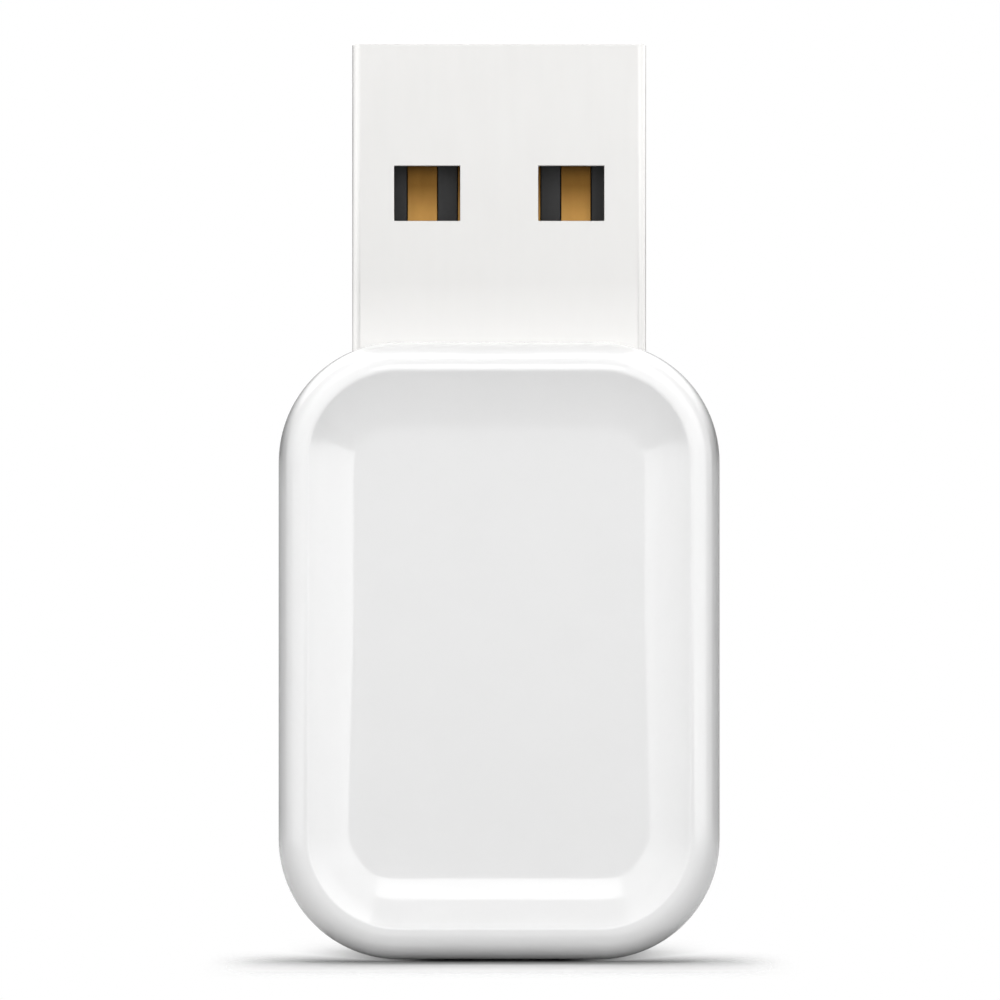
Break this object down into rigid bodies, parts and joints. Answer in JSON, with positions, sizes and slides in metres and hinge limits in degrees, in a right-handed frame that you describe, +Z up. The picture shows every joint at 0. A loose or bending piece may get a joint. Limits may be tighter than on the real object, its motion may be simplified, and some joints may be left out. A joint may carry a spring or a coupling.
{
  "type": "smart home usb radio stick",
  "caption": "Slim glossy white radio stick for a smart home hub, with a dished front panel, rounded corners and a bare metal USB plug.",
  "frame": {"origin": "middle of the footprint, on the surface that the closed end stands on", "axes": "+Z up along the stick towards the plug, +X to the right across its width, +Y to the back; the dished front faces -Y"},
  "size_m": [0.018, 0.0086, 0.0374],
  "materials": {
    "housing_white": "glossy",
    "plug_steel": "satin",
    "black_plastic": "matte",
    "gold_contact": "satin",
    "board_laminate": "satin",
    "chip_resin": "matte",
    "tinned_steel": "satin",
    "white_ceramic": "matte",
    "tan_ceramic": "matte",
    "ferrite_grey": "matte",
    "solder": "glossy"
  },
  "bodies": {
    "root": {"front_cover": "housing_white", "rear_cover": "housing_white", "usb_plug_shell": "plug_steel", "plug_insulator": "black_plastic", "usb_contact_power": "gold_contact", "usb_contact_data_minus": "gold_contact", "usb_contact_data_plus": "gold_contact", "usb_contact_ground": "gold_contact", "circuit_board": "board_laminate", "radio_chip": "chip_resin", "radio_crystal": "tinned_steel", "band_filter": "white_ceramic", "matching_coils": "white_ceramic", "radio_shield_can": "tinned_steel", "stamped_antenna": "tinned_steel", "usb_bridge_chip": "chip_resin", "surge_protector": "chip_resin", "voltage_regulator": "chip_resin", "chip_leads": "tinned_steel", "bulk_capacitors": "tan_ceramic", "resettable_fuse": "chip_resin", "ferrite_bead": "ferrite_grey", "bypass_capacitors": "tan_ceramic", "resistors": "chip_resin", "contact_solder": "solder", "shell_solder": "solder", "antenna_solder": "solder"}
  },
  "joints": []
}
